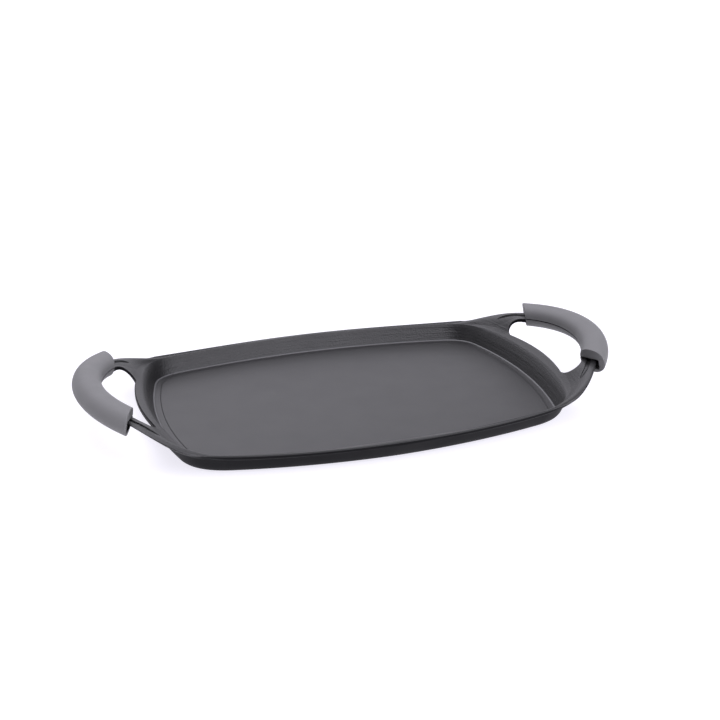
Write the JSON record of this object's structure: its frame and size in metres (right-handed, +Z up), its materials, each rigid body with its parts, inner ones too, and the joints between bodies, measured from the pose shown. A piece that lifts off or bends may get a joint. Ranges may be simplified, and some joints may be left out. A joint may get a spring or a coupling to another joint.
{
  "type": "griddle pan",
  "caption": "Shallow bowed rectangular stovetop griddle pan, cast in one piece with two upswept loop handles, each in a removable grey silicone grip.",
  "frame": {"origin": "centre of the underside, at the level the pan rests on", "axes": "+X along the length through both handles, +Y across the pan, +Z up out of the pan"},
  "size_m": [0.5594, 0.3182, 0.0608],
  "materials": {
    "non_stick_coating": "cast aluminium under a dark grey semi-matt non-stick coating",
    "grey_silicone": "matt grey silicone",
    "base_steel": "satin ferritic steel"
  },
  "bodies": {
    "pan": {"griddle_body": "non_stick_coating", "induction_plate": "base_steel"},
    "left_sleeve": {"left_grip": "grey_silicone"},
    "right_sleeve": {"right_grip": "grey_silicone"}
  },
  "joints": [
    {"name": "left_grip_pull_off", "type": "slide", "parent": "pan", "child": "left_sleeve", "axis": [-0.981, 0, 0.1942], "range_m": [0, 0.045]},
    {"name": "right_grip_pull_off", "type": "slide", "parent": "pan", "child": "right_sleeve", "axis": [0.981, 0, 0.1942], "range_m": [0, 0.045]}
  ]
}
